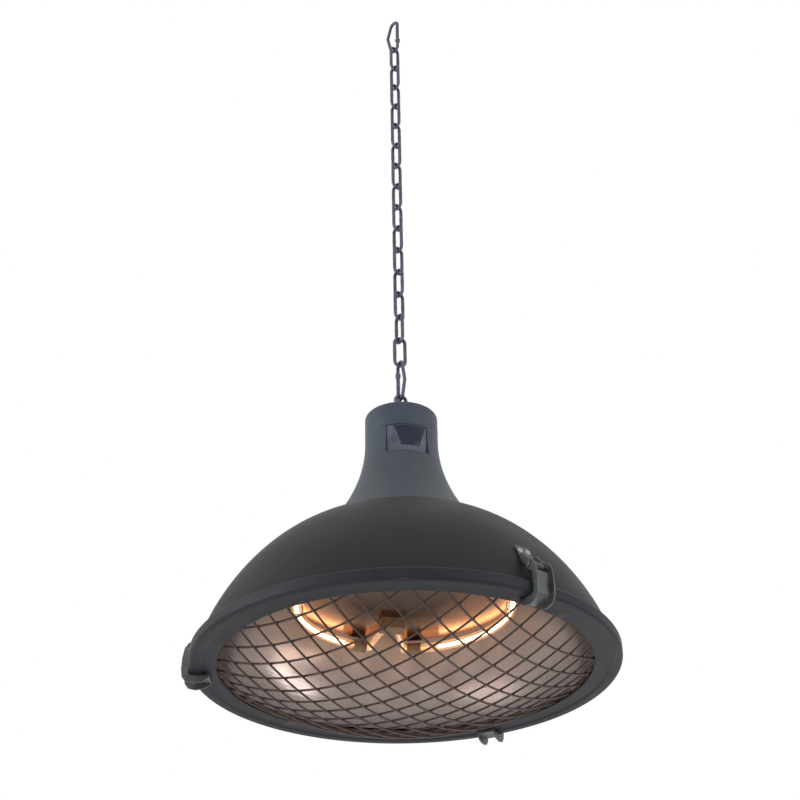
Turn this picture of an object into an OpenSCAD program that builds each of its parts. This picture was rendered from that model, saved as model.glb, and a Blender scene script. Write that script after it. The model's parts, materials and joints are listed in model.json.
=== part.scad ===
// Pendant ring-lamp heater: a domed shade with a wire guard, hung on a chain
// between two snap hooks. Millimetres, +Z up, origin at the inner top of the
// upper snap hook, where the fixture hangs from its ceiling hook.

/* [Suspension] */
// Wire diameter of the chain, the snap hooks and the eye
wire_d = 4; // [3.6:0.1:4.1]
// Distance from one chain link to the next
link_pitch = 32; // [30:1:40]
// Outer width of a chain link
link_w = 16; // [15.6:0.2:18]
// Play between two wires that hang in each other
wire_play = 0.2; // [0.1:0.05:0.4]
// Snap hook length, from wire centre to wire centre
hook_len = 48.5; // [46:0.5:55]

/* [Shade] */
// Outer radius of the bezel ring
rim_r = 217; // [216.6:0.1:217.4]
// Height of the bezel ring
bezel_h = 13.3; // [12.5:0.1:14]
// Inner radius of the bezel flange
bezel_in_r = 189; // [188.5:0.1:189]
// Thickness of the spun dome
dome_t = 1.7; // [1.4:0.1:1.8]

/* [Guard] */
// Wire diameter of the guard mesh
mesh_d = 2.2; // [2:0.1:2.4]
// Spacing of the guard wires
mesh_pitch = 22.75; // [20:0.05:26]
// Direction of the first family of wires, from +X
mesh_turn = 54.3; // [0:0.1:90]
// Radius of the sphere that the guard bulges along
mesh_sphere_r = 371; // [360:1:380]

/* [Lamp] */
// Radius of the ring lamp
lamp_r = 110.6; // [105:0.1:114]
// Height of the lamp ring above the rim
lamp_z = 70; // [66:0.5:71]
// Outer diameter of the quartz tube
tube_d = 10; // [8:0.5:10]
// Direction of the gap in the ring, from +X
lamp_turn = 101; // [90:1:120]

/* [Neck] */
// Radius of the straight part of the neck
neck_r0 = 39.7; // [39.5:0.1:40]
// Height of the cap's flat top above the rim
cap_top = 294.5; // [294:0.1:295]
// Direction of the signal window, from +X
window_turn = -75.5; // [-85:0.5:-65]

/* [Clips] */
// Direction of the first rim clip, from +X
clip_turn_1 = -55; // [-70:1:-40]
// Direction of the second rim clip
clip_turn_2 = 64; // [50:1:80]
// Direction of the third rim clip
clip_turn_3 = 178; // [165:1:195]

/* [Hidden] */
$fn = 64;
LINKS = 15;

// Paint and metal colours
shade_grey = [0.23, 0.24, 0.25];
bezel_grey = [0.21, 0.22, 0.25];
neck_grey = [0.33, 0.35, 0.38];
chain_grey = [0.36, 0.38, 0.43];
clip_grey = [0.40, 0.42, 0.41];
steel = [0.62, 0.63, 0.65];
bright = [0.82, 0.83, 0.85];
guard_brown = [0.17, 0.12, 0.10];
ceramic = [0.90, 0.88, 0.82];
board_green = [0.10, 0.35, 0.20];
glow = [1.00, 0.72, 0.35];

// Suspension geometry
wire_r = wire_d / 2;
seat = wire_d + wire_play;
link_bend = (link_w - wire_d) / 2;
hook_z = wire_r - hook_len;
lower_hook_z = hook_z - LINKS * link_pitch + seat;
eye_wire_z = lower_hook_z - hook_len + seat;
eye_above_rim = 324.4;
rim_z = eye_wire_z - eye_above_rim;
hook_turn = 135;
lower_hook_turn = -65;
eye_turn = 20;

// Which way the plane of each link faces: quarter turns, and the lowest two have twisted round
function link_turn(k) =
    k == LINKS ? 15 :
    k == LINKS - 1 ? -55 :
    k % 2 == 1 ? 45 : -45;
function junction_z(k) = hook_z - k * link_pitch;
function link_name(k) = str("chain_link_", k < 10 ? "0" : "", k);

// Snap hook outline, from the narrow end's wire centre: x to the spine, y to the wide end
narrow_r = 6;
wide_r = 6.3;
corner = [11.6, 28.3];
narrow_c = [0, narrow_r];
wide_c = [0, hook_len - wide_r];
gate_pin = [-narrow_r, 13.2];
gate_r = 2.2;
gate_end = hook_len - 9.1;
nose_end = gate_end + 0.5;
stub_end = 10.6;
tongue_t = 1.8;
tongue_half = 1.85;
overrun = 0.5;
gate_pin_r = 0.8;

function polar(r, a) = [r * cos(a), r * sin(a)];
function heading(v) = atan2(v[1], v[0]);
function touch_angle(c, r, q, side) = heading(q - c) + side * acos(r / norm(q - c));
narrow_a = touch_angle(narrow_c, narrow_r, corner, -1);
wide_a = touch_angle(wide_c, wide_r, corner, 1);
narrow_t = narrow_c + polar(narrow_r, narrow_a);
wide_t = wide_c + polar(wide_r, wide_a);
corner_r = 6;
corner_back = corner_r * tan((wide_a - narrow_a) / 2);
corner_c = corner - polar(corner_r, narrow_a) - polar(corner_back, narrow_a + 90);

// Curves of the shade, as radius and height above the rim
CURVE_STEPS = 26;
function bezier(p, t) =
    pow(1 - t, 3) * p[0] + 3 * t * pow(1 - t, 2) * p[1] + 3 * t * t * (1 - t) * p[2] + pow(t, 3) * p[3];
function curve(p) = [for (i = [0:CURVE_STEPS]) bezier(p, i / CURVE_STEPS)];
function reversed(list) = [for (i = [len(list) - 1:-1:0]) list[i]];

dome_top = 153.3;
dome_out = [[210.3, 10.2], [197.4, 62.8], [138.8, dome_top], [56.4, dome_top]];
dome_in = [
    [210.3 - dome_t, 10.2],
    [197.4 - dome_t, 62.3],
    [137.9, dome_top - dome_t],
    [56.4, dome_top - dome_t]
];
dome_foot = 5.4;
dome_hole_r = 22;
reflector_t = 1;
reflector_top = 86;
reflector_in = [[198, 12], [182, 56], [140, reflector_top - 4], [60, reflector_top]];

// The neck is straight above flare_z and spreads with the square of the depth below it
flare_z = 262;
flare_k = 0.0035;
function neck_r(z) = neck_r0 + (z < flare_z ? flare_k * pow(flare_z - z, 2) : 0);
neck_t = 1.8;
cap_foot = 268.2;
band_top = 268;
band_foot = 230.2;
neck_top = 230;
neck_foot = 150.6;
neck_in_r = neck_r0 - neck_t;
sleeve_out_r = neck_in_r - 0.2;
sleeve_in_r = sleeve_out_r - 1.5;
frame_turn = -80;
frame_half = 34;
frame_foot = 232;
frame_top = 266;
tie_r = 31;
tie_turns = [0, 120, 240];
bulkhead_z = dome_top + 0.1;
bulkhead_t = 2;
gland_z = 249;
cable_r = 4.2;

// Guard: every wire is an arc in its own upright plane on the sphere
mesh_r = mesh_d / 2;
mesh_edge_r = 187;
mesh_edge_z = 4.7;
mesh_c = mesh_edge_z + sqrt(pow(mesh_sphere_r, 2) - pow(mesh_edge_r, 2));
mesh_end_r = 191.2;
mesh_shift_a = 1.2;
mesh_shift_b = 8;
weld = 0.05;
mesh_limit = 181;
hoop_wire_r = 2.2;
hoop_r = 191.6;

// Lamp
gap_half = 8.5;
tube_r = tube_d / 2;
leg_r = 3.7;
pinch = 2;
leg_tip = [78, 5, 80.5];
holder_in = 62;
holder_out = 80;
holder_w = 26;
holder_foot = 74;
holder_top = 98;
lit_start = 126;
lit_angle = 305;

// Clips, in a frame that has x outward from the shade's axis
clip_turns = [clip_turn_1, clip_turn_2, clip_turn_3];
clip_pin = [214, 30];
clip_pin_r = 2;
pin_play = 0.06;
lever_half = 10.2;
plate_t = 1.5;
ear_out = 8.5;
bracket_at = [197.2, 46.2];
bracket_tilt = -26.1;

// ---------- helpers ----------

// Straight round rod between two points
module rod(a, b, r) {
    v = b - a;
    translate(a)
        rotate([0, acos(v[2] / norm(v)), atan2(v[1], v[0])])
            cylinder(h = norm(v), r = r);
}

// Round wire bent along an arc in the upright XZ plane
module bend(c, radius, r, from, to) {
    translate([c[0], 0, c[1]])
        rotate([90, 0, 0])
            rotate([0, 0, from])
                rotate_extrude(angle = to - from)
                    translate([radius, 0])
                        circle(r = r);
}

function upright(p) = [p[0], 0, p[1]];

// Straight run of wire in the XZ plane that laps a little way into the bends at its ends
module straight(p, q) {
    lap = overrun * (q - p) / norm(q - p);
    rod(upright(p - lap), upright(q + lap), wire_r - 0.05);
}

// Ring of a section about the Z axis, with a start and a sweep
module sweep(from, angle) {
    rotate([0, 0, from])
        rotate_extrude(angle = angle)
            children();
}

// Puts a piece that is drawn from the rim plane in its place under the chain
module on_head() {
    translate([0, 0, rim_z])
        children();
}

// Repeats a piece at each of the rim clips
module at_clips() {
    for (a = clip_turns)
        rotate([0, 0, a])
            children();
}

// Plate in the upright XZ plane, from y0 to y1
module side_plate(points, y0, y1) {
    translate([0, y1, 0])
        rotate([90, 0, 0])
            linear_extrude(height = y1 - y0)
                polygon(points);
}

// Cylinder along Y about a point of the XZ plane, from y0 to y1
module cross_pin(p, r, y0, y1) {
    translate([p[0], y1, p[1]])
        rotate([90, 0, 0])
            cylinder(h = y1 - y0, r = r);
}

// ---------- suspension ----------

// Snap hook: narrow eye, bulged spine, wide eye, nose and a flattened hinge tongue
module hook_body() {
    color(chain_grey)
        difference() {
            union() {
                bend(narrow_c, narrow_r, wire_r, 180, 360 + narrow_a);
                straight(narrow_t, corner_c + polar(corner_r, narrow_a));
                bend(corner_c, corner_r, wire_r, narrow_a, wide_a);
                straight(corner_c + polar(corner_r, wide_a), wide_t);
                bend(wide_c, wide_r, wire_r, wide_a, 180);
                straight([-wide_r, nose_end + overrun], [-wide_r, wide_c[1]]);
                straight([-narrow_r, narrow_r], [-narrow_r, stub_end - overrun]);
                cross_pin(gate_pin, tongue_half, -tongue_t / 2, tongue_t / 2);
                translate([gate_pin[0] - tongue_half, -tongue_t / 2, stub_end - 1])
                    cube([2 * tongue_half, tongue_t, gate_pin[1] - stub_end + 1]);
            }
            cross_pin(gate_pin, gate_pin_r, -wire_r, wire_r);
        }
}

// Sprung gate of a snap hook: a tube with a fork over the tongue
module hook_gate() {
    fork_top = gate_pin[1] + 3.8;
    color(chain_grey)
        difference() {
            union() {
                cross_pin(gate_pin, gate_r, -2.3, 2.3);
                translate([gate_pin[0] - gate_r, -2.3, gate_pin[1]])
                    cube([2 * gate_r, 4.6, fork_top - gate_pin[1]]);
                rod(upright([gate_pin[0], fork_top - 1]), upright([gate_pin[0], gate_end]), gate_r);
            }
            translate([gate_pin[0] - 3, -1.05, gate_pin[1] - 3])
                cube([6, 2.1, 5.6]);
            cross_pin(gate_pin, gate_pin_r + 0.07, -3, 3);
        }
}

module hook_pin() {
    color(steel)
        cross_pin(gate_pin, gate_pin_r, -2.6, 2.6);
}

module at_top_hook() {
    translate([0, 0, hook_z])
        rotate([0, 0, hook_turn])
            children();
}

module at_lower_hook() {
    translate([0, 0, lower_hook_z])
        rotate([0, 0, lower_hook_turn])
            rotate([180, 0, 0])
                children();
}

module chain_link(k) {
    top_c = seat - link_bend;
    foot_c = link_bend - link_pitch;
    color(chain_grey)
        translate([0, 0, junction_z(k - 1)])
            rotate([0, 0, link_turn(k)]) {
                bend([0, top_c], link_bend, wire_r, 0, 180);
                bend([0, foot_c], link_bend, wire_r, 180, 360);
                for (s = [-1, 1])
                    rod([s * link_bend, 0, foot_c], [s * link_bend, 0, top_c], wire_r);
            }
}

module eye_bolt() {
    ring_c = eye_above_rim - narrow_r;
    color(steel)
        on_head()
            rotate([0, 0, eye_turn]) {
                bend([0, ring_c], narrow_r, wire_r, 0, 360);
                translate([0, 0, 299])
                    cylinder(h = ring_c - narrow_r - 299, r = 3.2);
                translate([0, 0, 296.2])
                    cylinder(h = 3, r = 9);
                translate([0, 0, 274])
                    cylinder(h = 23, r = 4);
            }
}

module ring(r_in, r_out, z0, z1) {
    rotate_extrude()
        translate([r_in, z0])
            square([r_out - r_in, z1 - z0]);
}

module eye_washers() {
    color(steel)
        on_head() {
            ring(4.05, 11, cap_top + 0.05, cap_top + 1.65);
            ring(4.05, 11, cap_top - 4.65, cap_top - 3.05);
        }
}

module eye_nut() {
    color(steel)
        on_head()
            translate([0, 0, cap_top - 11.5])
                difference() {
                    cylinder(h = 6.8, r = 7.5, $fn = 6);
                    translate([0, 0, -1])
                        cylinder(h = 9, r = 4.02);
                }
}

// ---------- neck ----------

module neck_cap() {
    edge = 3;
    plate = 3;
    color(neck_grey)
        on_head()
            difference() {
                union() {
                    rotate_extrude()
                        polygon(concat(
                            [[neck_in_r, cap_foot], [neck_r0, cap_foot]],
                            [for (a = [0:15:90]) [neck_r0 - edge, cap_top - edge] + polar(edge, a)],
                            [[4.1, cap_top], [4.1, cap_top - plate], [neck_in_r, cap_top - plate]]
                        ));
                    for (a = tie_turns)
                        rotate([0, 0, a])
                            translate([tie_r, 0, 276])
                                cylinder(h = cap_top - plate + 0.5 - 276, r = 4.5);
                }
                for (a = tie_turns)
                    rotate([0, 0, a])
                        translate([tie_r, 0, 270])
                            cylinder(h = 19, r = 2.05);
            }
}

module control_band() {
    color(neck_grey)
        on_head()
            difference() {
                rotate_extrude()
                    polygon(concat(
                        [[neck_in_r, band_top], [neck_in_r, band_foot]],
                        [for (i = [0:10]) let (z = band_foot + i * (flare_z - band_foot) / 10) [neck_r(z), z]],
                        [[neck_r0, band_top]]
                    ));
                sweep(frame_turn - frame_half, 2 * frame_half)
                    translate([neck_in_r - 3, frame_foot])
                        square([20, frame_top - frame_foot]);
                translate([0, 30, gland_z])
                    rotate([-90, 0, 0])
                        cylinder(h = 20, r = 8.05);
            }
}

// Prism with the outline of the signal window, wider at the top, pointing out of the neck
module window_prism(grow) {
    rotate([0, 0, window_turn])
        rotate([90, 0, 90])
            linear_extrude(height = 60)
                polygon([
                    [-17 - grow, 264.6 + grow], [17 + grow, 264.6 + grow],
                    [9.6 + grow, 241 - grow], [-9.6 - grow, 241 - grow]
                ]);
}

module window_frame() {
    color(bezel_grey)
        on_head()
            difference() {
                sweep(frame_turn - frame_half + 0.3, 2 * frame_half - 0.6)
                    translate([neck_in_r - 0.1, frame_foot + 0.2])
                        square([1.1, frame_top - frame_foot - 0.4]);
                window_prism(0.2);
            }
}

module window_lens() {
    color([0.10, 0.11, 0.17])
        on_head()
            intersection() {
                ring(neck_in_r - 0.1, neck_in_r + 1.25, 235, 270);
                window_prism(0);
            }
}

module receiver_board() {
    color(board_green)
        on_head()
            rotate([0, 0, window_turn]) {
                translate([30.4, -10, 240])
                    cube([1.6, 20, 26]);
                translate([31.5, 0, 253])
                    rotate([0, 90, 0])
                        cylinder(h = 3.2, r = 3);
                translate([34.7, 0, 253])
                    sphere(r = 2.4);
                translate([28.4, -6, 244])
                    cube([2.2, 12, 6]);
            }
}

module neck_sleeve() {
    color(steel)
        on_head()
            difference() {
                union() {
                    ring(sleeve_in_r, sleeve_out_r, 226.5, 289);
                    ring(sleeve_in_r, 41.2, 226.5, 229);
                }
                rotate([0, 0, window_turn])
                    translate([30, -7, 244])
                        cube([12, 14, 17]);
                translate([0, 30, gland_z])
                    rotate([-90, 0, 0])
                        cylinder(h = 20, r = 8.05);
            }
}

module flared_neck() {
    steps = 20;
    color(neck_grey)
        on_head()
            rotate_extrude()
                polygon(concat(
                    [for (i = [0:steps]) let (z = neck_foot + i * (neck_top - neck_foot) / steps)
                        [neck_r(z), z]],
                    [for (i = [0:steps]) let (z = neck_top - i * (neck_top - 155) / steps)
                        [neck_r(z) - neck_t, z]],
                    [[50, 155], [50, bulkhead_z], [neck_r(neck_foot) - 3.2, bulkhead_z]],
                    [[neck_r(neck_foot) - neck_t, neck_foot]]
                ));
}

// Long bolts that clamp the cap, band and neck to the top of the dome
module tie_rods() {
    color(steel)
        on_head()
            for (a = tie_turns)
                rotate([0, 0, a])
                    translate([tie_r, 0, 0]) {
                        translate([0, 0, 150])
                            cylinder(h = 138, r = 2);
                        translate([0, 0, dome_top - dome_t - 3.1])
                            cylinder(h = 3, r = 3.8);
                    }
}

module neck_bulkhead() {
    color(steel)
        on_head()
            difference() {
                union() {
                    ring(8, 49.6, bulkhead_z, bulkhead_z + bulkhead_t);
                    for (x = [-22, 22])
                        for (y = [-14, 14])
                            translate([x, y, bulkhead_z])
                                cylinder(h = 22, r = 3);
                }
                for (a = tie_turns)
                    rotate([0, 0, a])
                        translate([tie_r, 0, bulkhead_z - 1])
                            cylinder(h = 5, r = 2.05);
            }
}

module power_board() {
    foot = bulkhead_z + 22.1;
    color(board_green)
        on_head() {
            translate([-26, -18, foot])
                cube([52, 36, 1.6]);
            translate([-20, -10, foot + 1])
                cube([20, 20, 16]);
            translate([14, 0, foot + 1])
                cylinder(h = 12, r = 7);
        }
}

module terminal_block() {
    color(ceramic)
        on_head()
            difference() {
                translate([12, -10, bulkhead_z + bulkhead_t + 0.1])
                    cube([12, 20, 14]);
                for (y = [-5, 5])
                    translate([18, y, 165])
                        cylinder(h = 10, r = 2.4);
            }
}

// Cable entry at the back of the neck
module gland_body() {
    color([0.12, 0.12, 0.13])
        on_head()
            translate([0, 34, gland_z])
                rotate([-90, 0, 0])
                    difference() {
                        union() {
                            cylinder(h = 14, r = 7.9);
                            translate([0, 0, 8.5])
                                cylinder(h = 5.5, r = 11, $fn = 6);
                        }
                        translate([0, 0, -1])
                            cylinder(h = 16, r = cable_r);
                    }
}

module gland_nut() {
    color([0.12, 0.12, 0.13])
        on_head()
            translate([0, 48.1, gland_z])
                rotate([-90, 0, 0])
                    difference() {
                        union() {
                            cylinder(h = 5, r = 10.4, $fn = 6);
                            translate([0, 0, 4.5])
                                cylinder(h = 5.5, r1 = 8.8, r2 = 6.4);
                        }
                        translate([0, 0, -1])
                            cylinder(h = 12, r = cable_r);
                    }
}

// ---------- shade ----------

module dome_shell() {
    color(shade_grey)
        on_head()
            difference() {
                rotate_extrude()
                    polygon(concat(
                        [[210.3 - dome_t, dome_foot], [210.5, dome_foot]],
                        curve(dome_out),
                        [[dome_hole_r, dome_top], [dome_hole_r, dome_top - dome_t]],
                        reversed(curve(dome_in))
                    ));
                for (a = tie_turns)
                    rotate([0, 0, a])
                        translate([tie_r, 0, dome_top - 5])
                            cylinder(h = 10, r = 2.05);
            }
}

standoff_turns = [40, 160, 280];
standoff_r = 45;
shield_z = 119;

module heat_shield() {
    color(bright)
        on_head()
            difference() {
                rotate_extrude()
                    polygon([
                        [14, shield_z], [80, shield_z], [92, shield_z - 6], [92.4, shield_z - 5],
                        [80.3, shield_z + 1.2], [14, shield_z + 1.2]
                    ]);
                for (a = standoff_turns)
                    rotate([0, 0, a])
                        translate([standoff_r, 0, shield_z - 5])
                            cylinder(h = 10, r = 3.05);
            }
}

module reflector_standoffs() {
    foot = reflector_top + reflector_t + 0.1;
    color(steel)
        on_head()
            for (a = standoff_turns)
                rotate([0, 0, a])
                    translate([standoff_r, 0, foot])
                        cylinder(h = dome_top - dome_t - 0.1 - foot, r = 3);
}

module thermal_cutout() {
    color(ceramic)
        on_head()
            rotate([0, 0, -60])
                translate([30, 0, shield_z + 1.3]) {
                    cylinder(h = 4, r = 8);
                    cylinder(h = 7, r = 5);
                }
}

// Two insulated leads from the terminals down to the lamp holder
module lead_wires() {
    color([0.75, 0.70, 0.62])
        on_head()
            for (s = [-1, 1]) {
                route = [
                    [11.2, s * 5, 161], [5, s * 3, 159], [2, s * 3, 150], [0, s * 3, 124],
                    [-4 + s * 4, 14, 110], [-9 + s * 5, 45, 106], [-13 + s * 5, 68, 105],
                    [-13.4 + s * 5, 69.5, holder_top + 0.7]
                ];
                for (i = [0:len(route) - 2]) {
                    rod(route[i], route[i + 1], 1.5);
                    if (i > 0)
                        translate(route[i])
                            sphere(r = 1.8);
                }
            }
}

module reflector() {
    lift = [0, reflector_t];
    inner = curve(reflector_in);
    color(bright)
        on_head()
            difference() {
                rotate_extrude()
                    polygon(concat(
                        [[0, reflector_top + reflector_t], [0, reflector_top]],
                        reversed(inner),
                        [[206.3, 11], [206.3, 12], [198.6, 13]],
                        [for (i = [1:CURVE_STEPS]) inner[i] + [0.6 * (1 - i / CURVE_STEPS), 0] + lift]
                    ));
                rotate([0, 0, lamp_turn])
                    translate([holder_in - 0.4, -holder_w / 2 - 0.4, 60])
                        cube([holder_out - holder_in + 0.8, holder_w + 0.8, 60]);
            }
}

module lamp_holder() {
    color(ceramic)
        on_head()
            rotate([0, 0, lamp_turn])
                translate([holder_in, -holder_w / 2, holder_foot])
                    cube([holder_out - holder_in, holder_w, holder_top - holder_foot]);
}

// Ring of quartz tube with a gap, and the two solid legs that plug into the holder
module lamp_tube() {
    color([0.95, 0.90, 0.82])
        on_head()
            rotate([0, 0, lamp_turn])
                translate([0, 0, lamp_z]) {
                    sweep(gap_half + pinch, 360 - 2 * (gap_half + pinch))
                        translate([lamp_r, 0])
                            difference() {
                                circle(r = tube_r);
                                circle(r = tube_r - 1.2);
                            }
                    for (from = [gap_half, -gap_half - 2 * pinch])
                        sweep(from, 2 * pinch)
                            translate([lamp_r, 0])
                                circle(r = tube_r - 0.5);
                    for (s = [-1, 1])
                        rod(
                            concat(polar(lamp_r, s * (gap_half + 1.6)), [0]),
                            [leg_tip[0], s * leg_tip[1], leg_tip[2] - lamp_z],
                            leg_r
                        );
                }
}

module lamp_filament() {
    color(glow)
        on_head()
            translate([0, 0, lamp_z])
                sweep(lit_start, lit_angle)
                    translate([lamp_r, 0])
                        circle(r = 1.9);
}

module lamp_end_sleeves() {
    sleeve_angle = 8;
    color(ceramic)
        on_head()
            translate([0, 0, lamp_z])
                for (from = [lamp_turn + gap_half + 3.5, lamp_turn - gap_half - 3.5 - sleeve_angle])
                    sweep(from, sleeve_angle)
                        translate([lamp_r, 0])
                            difference() {
                                circle(r = tube_r + 1.3);
                                circle(r = tube_r + 0.05);
                            }
}

// Spring-wire loops that hold the ring under the reflector
module lamp_supports() {
    loop_r = tube_r + 0.9;
    color(steel)
        on_head()
            for (a = [0, 180, 270])
                rotate([0, 0, a]) {
                    bend([lamp_r, lamp_z], loop_r, 0.8, 0, 360);
                    rod([lamp_r, 0, lamp_z + loop_r], [lamp_r, 0, 79.2], 0.8);
                }
}

// ---------- bezel and guard ----------

module rim_gasket() {
    color([0.10, 0.10, 0.10])
        on_head()
            ring(205.5, 211.5, 3.3, dome_foot - 0.1);
}

module bezel_ring() {
    color(bezel_grey)
        on_head()
            rotate_extrude()
                polygon([
                    [bezel_in_r, 1.6], [203.6, 1.6], [206.6, 0], [214.5, 0], [216.2, 0.7], [rim_r, 2.4],
                    [rim_r, bezel_h - 1.8], [216.5, bezel_h - 0.6], [215.2, bezel_h], [212.4, bezel_h],
                    [212.4, bezel_h - 1], [213.6, bezel_h - 2.4], [213.6, 3.2], [bezel_in_r, 3.2]
                ]);
}

module guard_hoop() {
    color(guard_brown)
        on_head()
            rotate_extrude()
                translate([hoop_r, 3.25 + hoop_wire_r])
                    circle(r = hoop_wire_r);
}

// Parallel wires over a sphere of radius r: one arc for each step of the pitch
module guard_family(r, shift) {
    first = ceil((-mesh_limit - shift) / mesh_pitch);
    last = floor((mesh_limit - shift) / mesh_pitch);
    for (i = [first:last]) {
        off = shift + i * mesh_pitch;
        arc_r = sqrt(r * r - off * off);
        half = asin(sqrt(mesh_end_r * mesh_end_r - off * off) / arc_r);
        translate([0, off, 0])
            bend([0, mesh_c], arc_r, mesh_r, -90 - half, -90 + half);
    }
}

module guard_wires_a() {
    color(guard_brown)
        on_head()
            rotate([0, 0, mesh_turn + 180])
                guard_family(mesh_sphere_r + mesh_r - weld, mesh_shift_a);
}

module guard_wires_b() {
    color(guard_brown)
        on_head()
            rotate([0, 0, mesh_turn - 90])
                guard_family(mesh_sphere_r - mesh_r + weld, mesh_shift_b);
}

// ---------- rim clips ----------

module clip_brackets() {
    ear = [
        [204.2, 35.6], [209.5, 27.5], [214, 25.5], [218, 28],
        [218.5, 31], [215, 34.5], [203.5, 46.2], [199.6, 45.3]
    ];
    color(clip_grey)
        on_head()
            at_clips()
                difference() {
                    union() {
                        translate(upright(bracket_at))
                            rotate([0, bracket_tilt, 0])
                                translate([0.25, 0.6 - ear_out, -13])
                                    cube([plate_t, 2 * (ear_out - 0.6), 26]);
                        side_plate(ear, ear_out - plate_t, ear_out);
                        side_plate(ear, -ear_out, plate_t - ear_out);
                    }
                    cross_pin(clip_pin, clip_pin_r, -12, 12);
                }
}

module clip_rivets() {
    color(steel)
        on_head()
            at_clips()
                translate(upright(bracket_at))
                    rotate([0, bracket_tilt, 0])
                        for (y = [-4.5, 4.5])
                            translate([0, y, 6]) {
                                rotate([0, 90, 0])
                                    translate([0, 0, -2.6])
                                        cylinder(h = 5, r = 1.6);
                                translate([0.25 + plate_t, 0, 0])
                                    rotate([0, 90, 0])
                                        cylinder(h = 1.2, r1 = 3, r2 = 2);
                            }
}

module clip_pins() {
    color(steel)
        on_head()
            at_clips() {
                cross_pin(clip_pin, clip_pin_r, -lever_half - 0.4, lever_half + 0.4);
                cross_pin(clip_pin, clip_pin_r + 1, lever_half + 0.2, lever_half + 1.4);
                cross_pin(clip_pin, clip_pin_r + 1, -lever_half - 1.4, -lever_half - 0.2);
            }
}

// Coil that presses the lever shut, with one leg behind the lever's web
module clip_springs() {
    color(steel)
        on_head()
            at_clips() {
                difference() {
                    cross_pin(clip_pin, 3.5, -5, 5);
                    cross_pin(clip_pin, 2.3, -6, 6);
                }
                rod([clip_pin[0] + 2.9, -4.4, clip_pin[1]], [clip_pin[0] + 2.9, -4.4, 19.5], 0.5);
                rod([clip_pin[0], 4.4, clip_pin[1] + 2.9], [202.8, 4.4, 41.2], 0.5);
            }
}

// Channel lever that hooks round the bezel and under its face
module clip_lever(turn) {
    cheek = [
        [209.6, 28], [210.6, 32.6], [214, 34.8], [218.5, 34], [222.5, 28.5], [224.6, 18],
        [225.2, 6], [224.2, -2], [220.5, -7.2], [213, -9.2], [204, -8], [198.8, -4.8],
        [197, -1.5], [197, -0.6], [215.2, -0.6], [217.6, 1.4], [217.6, 22], [213, 25.2]
    ];
    web = [
        [197, -2.1], [216, -2.1], [219.1, 0.9], [219.1, 23.5], [217.6, 23.5], [217.6, 1.5],
        [215.2, -0.6], [199.6, -0.6], [199, 1.1], [197, 1.1]
    ];
    color(clip_grey)
        on_head()
            rotate([0, 0, turn])
                difference() {
                    union() {
                        side_plate(cheek, lever_half - plate_t, lever_half);
                        side_plate(cheek, -lever_half, plate_t - lever_half);
                        side_plate(web, -lever_half, lever_half);
                    }
                    cross_pin(clip_pin, clip_pin_r + pin_play, -12, 12);
                }
}

// ---------- assembly ----------

at_top_hook() hook_body();  // top_carabiner
at_top_hook() hook_gate();  // top_carabiner_gate
at_top_hook() hook_pin();  // top_carabiner_pin
for (k = [1:LINKS])
    chain_link(k);
at_lower_hook() hook_body();  // bottom_carabiner
at_lower_hook() hook_gate();  // bottom_carabiner_gate
at_lower_hook() hook_pin();  // bottom_carabiner_pin
eye_bolt();
eye_washers();
eye_nut();
neck_cap();
control_band();
window_frame();
window_lens();
receiver_board();
neck_sleeve();
flared_neck();
tie_rods();
neck_bulkhead();
power_board();
terminal_block();
gland_body();
gland_nut();
dome_shell();
heat_shield();
reflector_standoffs();
thermal_cutout();
lead_wires();
reflector();
lamp_holder();
lamp_tube();
lamp_filament();
lamp_end_sleeves();
lamp_supports();
rim_gasket();
bezel_ring();
guard_hoop();
guard_wires_a();
guard_wires_b();
clip_brackets();
clip_rivets();
clip_pins();
clip_springs();
clip_lever(clip_turn_1);  // clip_lever_1
clip_lever(clip_turn_2);  // clip_lever_2
clip_lever(clip_turn_3);  // clip_lever_3
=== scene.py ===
import json
import math
import random

import bmesh
import bpy
from mathutils import Matrix, Vector


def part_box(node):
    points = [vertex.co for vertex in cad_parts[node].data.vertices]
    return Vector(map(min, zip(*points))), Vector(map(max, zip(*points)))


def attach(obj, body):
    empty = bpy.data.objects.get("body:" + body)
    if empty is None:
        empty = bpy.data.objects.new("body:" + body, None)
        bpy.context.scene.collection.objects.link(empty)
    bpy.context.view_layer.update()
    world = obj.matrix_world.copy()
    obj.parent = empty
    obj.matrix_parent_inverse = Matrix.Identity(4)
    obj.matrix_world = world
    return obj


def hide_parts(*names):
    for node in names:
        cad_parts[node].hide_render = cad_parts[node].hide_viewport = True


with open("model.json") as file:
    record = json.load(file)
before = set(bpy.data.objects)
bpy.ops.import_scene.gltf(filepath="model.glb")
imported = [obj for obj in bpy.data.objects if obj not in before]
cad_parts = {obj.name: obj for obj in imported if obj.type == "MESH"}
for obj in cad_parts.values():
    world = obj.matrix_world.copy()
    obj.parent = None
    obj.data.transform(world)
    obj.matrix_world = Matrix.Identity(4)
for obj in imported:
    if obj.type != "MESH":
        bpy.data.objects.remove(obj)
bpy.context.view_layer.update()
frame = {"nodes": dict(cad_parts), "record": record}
record = frame["record"]
nodes = frame["nodes"]
joints = {j["name"]: j for j in record["behaviour"]["joints"]}
scene = bpy.context.scene
rng = random.Random(11)
MM = 0.001

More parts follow.
